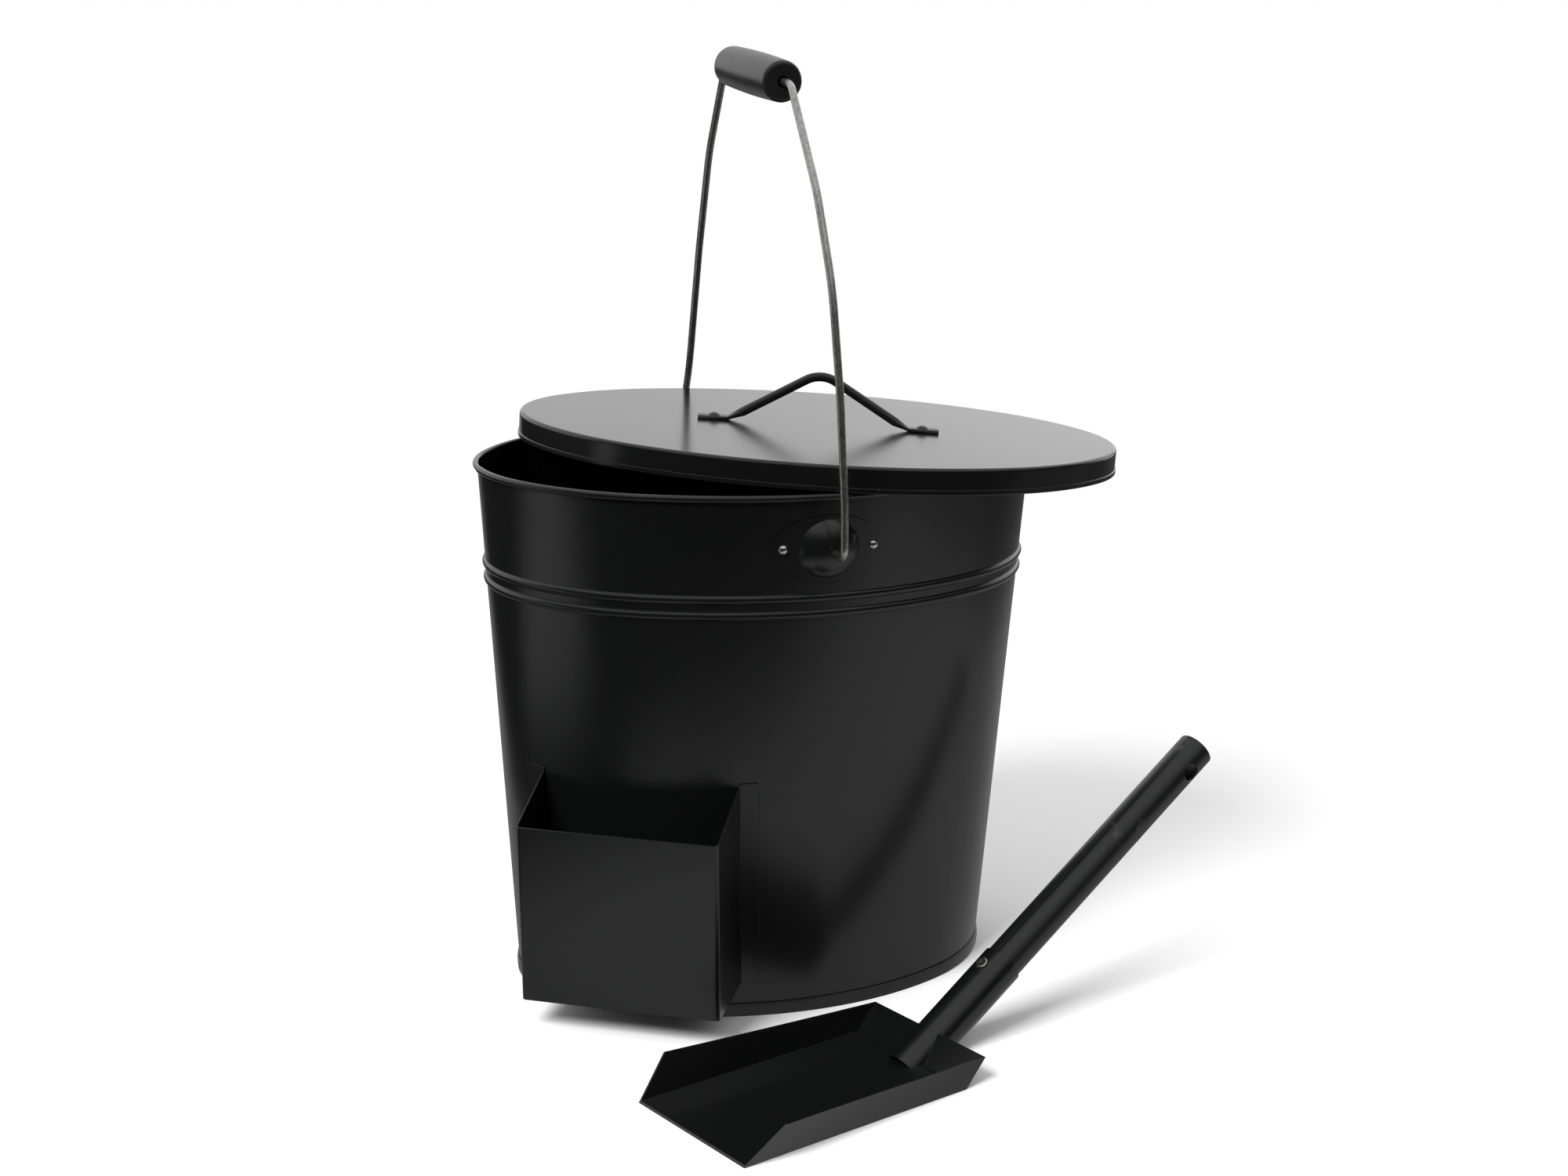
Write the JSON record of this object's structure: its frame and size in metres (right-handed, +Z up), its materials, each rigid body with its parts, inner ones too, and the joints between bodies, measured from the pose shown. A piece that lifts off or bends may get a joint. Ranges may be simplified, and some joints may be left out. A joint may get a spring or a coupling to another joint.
{
  "type": "ash bucket",
  "caption": "Oval sheet-metal ash bucket with a swinging wire bail and grip, a loose lid laid ajar, a shovel pocket and a hand shovel beside it.",
  "frame": {"origin": "centre of the bucket's foot on the floor", "axes": "+Z up, X along the long axis of the oval, -Y towards the shovel"},
  "size_m": [0.4788, 0.4848, 0.6255],
  "materials": {
    "black_coat": "satin black powder coat",
    "lid_coat": "satin black powder coat",
    "shovel_coat": "semi-gloss black coat",
    "tube_coat": "satin black coat, lightly scuffed",
    "handle_coat": "satin black coat",
    "grip": "glossy turned grip",
    "bail_wire": "galvanised drawn wire",
    "steel_wire": "plain drawn wire",
    "rivet": "bright"
  },
  "bodies": {
    "bucket": {"bucket_wall": "black_coat", "rim_wire": "steel_wire", "bucket_bottom": "black_coat", "front_ear": "black_coat", "rear_ear": "black_coat", "front_ear_rivet_left": "rivet", "front_ear_rivet_right": "rivet", "rear_ear_rivet_left": "rivet", "rear_ear_rivet_right": "rivet", "shovel_pocket": "black_coat", "pocket_bottom": "black_coat"},
    "bail": {"bail_wire": "bail_wire"},
    "grip": {"bail_grip": "grip"},
    "lid": {"lid_pan": "lid_coat", "lid_handle": "handle_coat", "lid_rivet_left": "handle_coat", "lid_rivet_right": "handle_coat"},
    "shovel": {"shovel_blade": "shovel_coat", "shovel_handle": "tube_coat", "shovel_rivet": "rivet"}
  },
  "joints": [
    {"name": "bail_swing", "type": "hinge", "parent": "bucket", "child": "bail", "pos_m": [0, 0, 0.3203], "axis": [0, 1, 0], "range_deg": [-110, 10]},
    {"name": "grip_spin", "type": "hinge", "parent": "bail", "child": "grip", "pos_m": [-0.00353, 0.0027, 0.60908], "axis": [-0.0008, 0.9981, 0.0624], "continuous": true},
    {"name": "lid_lift", "type": "slide", "parent": "bucket", "child": "lid", "axis": [0.9613, 0, 0.2756], "range_m": [0, 0.2]},
    {"name": "shovel_lift", "type": "slide", "parent": "bucket", "child": "shovel", "axis": [0, 0, 1], "range_m": [0, 0.15]}
  ]
}
